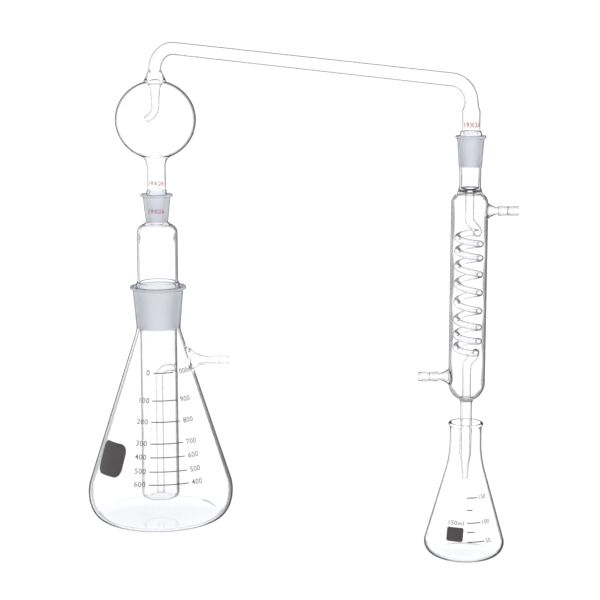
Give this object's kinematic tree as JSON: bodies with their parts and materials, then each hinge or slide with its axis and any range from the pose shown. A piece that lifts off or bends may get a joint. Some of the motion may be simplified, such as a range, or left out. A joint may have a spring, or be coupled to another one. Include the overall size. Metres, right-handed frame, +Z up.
{
  "type": "steam distillation apparatus with coil condenser",
  "caption": "Borosilicate glass steam distillation apparatus: conical steam flask, inner chamber, splash head with bridge tube, coil condenser and conical receiver.",
  "frame": {"origin": "centre of the steam flask's flat base", "axes": "+Z up along the common axis of steam flask, chamber and splash head; +X along the steam flask's side arm and the coolant outlet arm"},
  "size_m": [0.3796, 0.214, 0.4363],
  "materials": {
    "clear_glass": "clear fire-polished borosilicate glass",
    "ground_glass": "frosted ground joint in borosilicate glass"
  },
  "bodies": {
    "steam_flask": {"flask_shell": "clear_glass", "flask_side_arm": "clear_glass", "flask_ground_socket": "ground_glass"},
    "reaction_chamber": {"chamber_vessel": "clear_glass", "chamber_ground_cone": "ground_glass", "chamber_upper_body": "clear_glass", "chamber_ground_socket": "ground_glass", "steam_inlet_tube": "clear_glass"},
    "splash_head": {"head_ground_cone": "ground_glass", "splash_bulb": "clear_glass", "bulb_collar": "clear_glass", "splash_guard_tube": "clear_glass", "bridge_tube": "clear_glass", "delivery_ground_cone": "ground_glass"},
    "coil_condenser": {"condenser_ground_socket": "ground_glass", "condenser_neck": "clear_glass", "condenser_jacket": "clear_glass", "coolant_outlet_arm": "clear_glass", "coolant_inlet_arm": "clear_glass", "upper_ring_seal": "clear_glass", "lower_ring_seal": "clear_glass", "coil_inlet_tube": "clear_glass", "coil_outlet_tube": "clear_glass", "condenser_coil": "clear_glass", "drip_tube": "clear_glass"},
    "receiver_flask": {"receiver_vessel": "clear_glass"}
  },
  "joints": [
    {"name": "chamber_turn", "type": "hinge", "parent": "steam_flask", "child": "reaction_chamber", "pos_m": [0, 0, 0.197], "axis": [0, 0, 1], "continuous": true},
    {"name": "head_turn", "type": "hinge", "parent": "reaction_chamber", "child": "splash_head", "pos_m": [0, 0, 0.287], "axis": [0, 0, 1], "continuous": true},
    {"name": "condenser_turn", "type": "hinge", "parent": "splash_head", "child": "coil_condenser", "pos_m": [0.27162, -0.11251, 0.349], "axis": [0, 0, 1], "continuous": true},
    {"name": "receiver_raise", "type": "slide", "parent": "coil_condenser", "child": "receiver_flask", "axis": [0, 0, 1], "range_m": [0, 0.015]}
  ]
}
